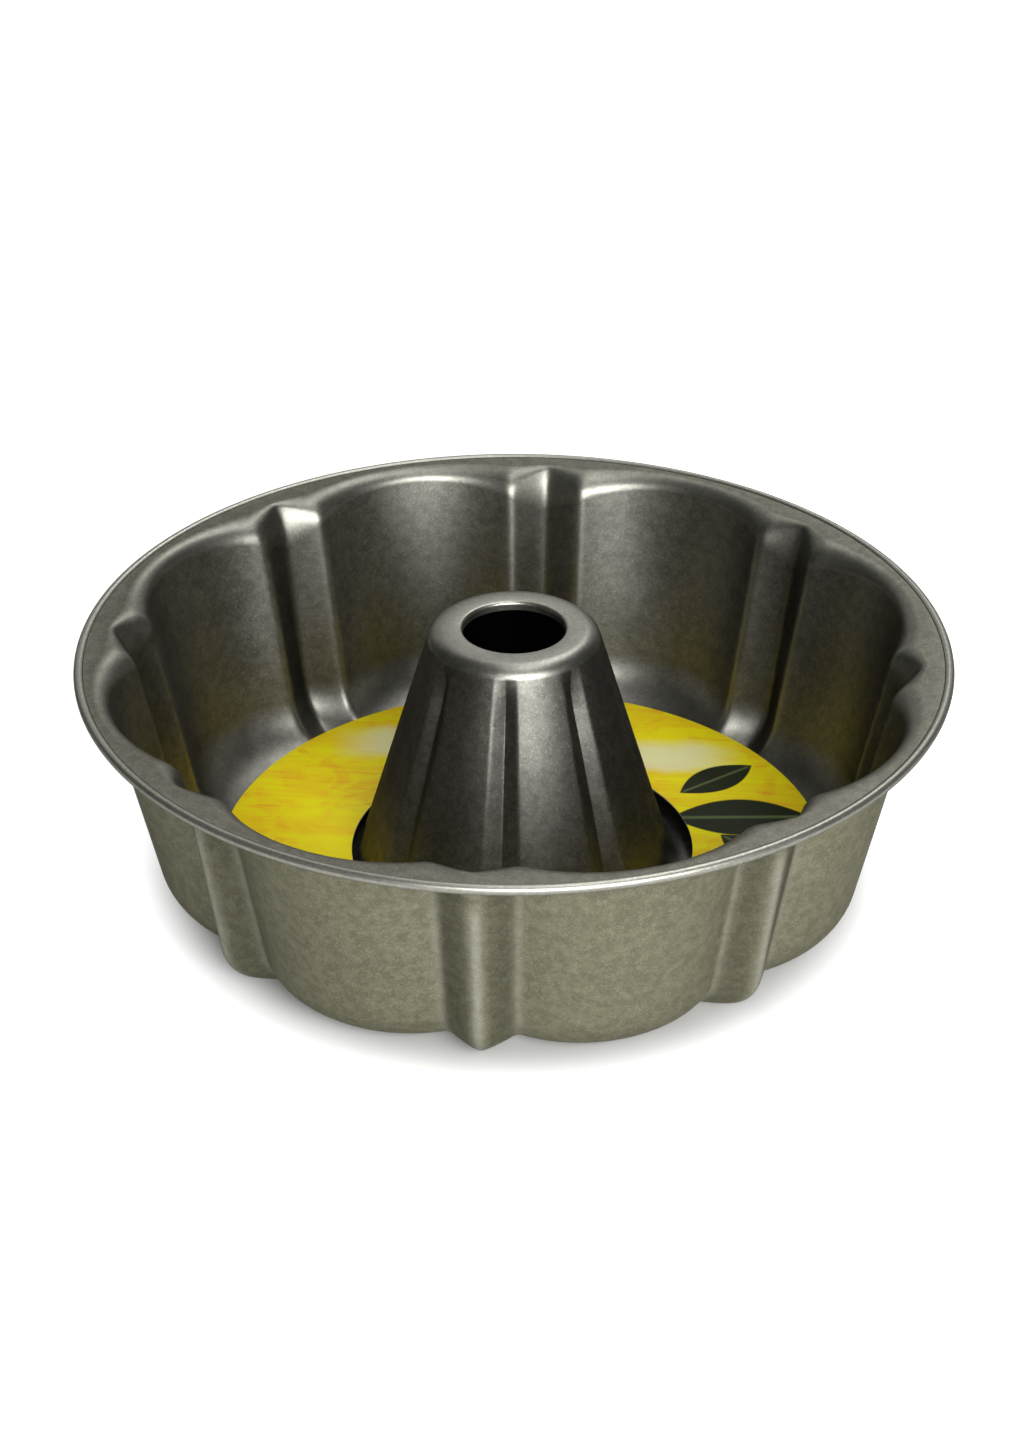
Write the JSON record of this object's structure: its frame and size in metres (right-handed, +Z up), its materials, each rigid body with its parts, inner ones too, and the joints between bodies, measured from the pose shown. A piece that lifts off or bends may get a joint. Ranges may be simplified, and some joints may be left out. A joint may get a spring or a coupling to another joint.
{
  "type": "ring cake pan",
  "caption": "Fluted ring cake pan drawn from one sheet, with a rolled rim, V ribs, a tapered centre tube and a loose printed ring of card on its floor.",
  "frame": {"origin": "on the table under the middle of the pan, on the axis of its tube", "axes": "+Z up along the axis of the tube, -Y through the tip of one V rib, the front"},
  "size_m": [0.25, 0.25, 0.0801],
  "materials": {
    "nonstick_steel": "dark grey speckled non-stick coat with a soft metallic sheen on drawn steel",
    "printed_card": "coated card printed in yellow and orange"
  },
  "bodies": {
    "pan": {"pan_body": "nonstick_steel"},
    "card": {"card_insert": "printed_card"}
  },
  "joints": [
    {"name": "card_lift", "type": "slide", "parent": "pan", "child": "card", "axis": [0, 0, 1], "range_m": [0, 0.11]}
  ]
}
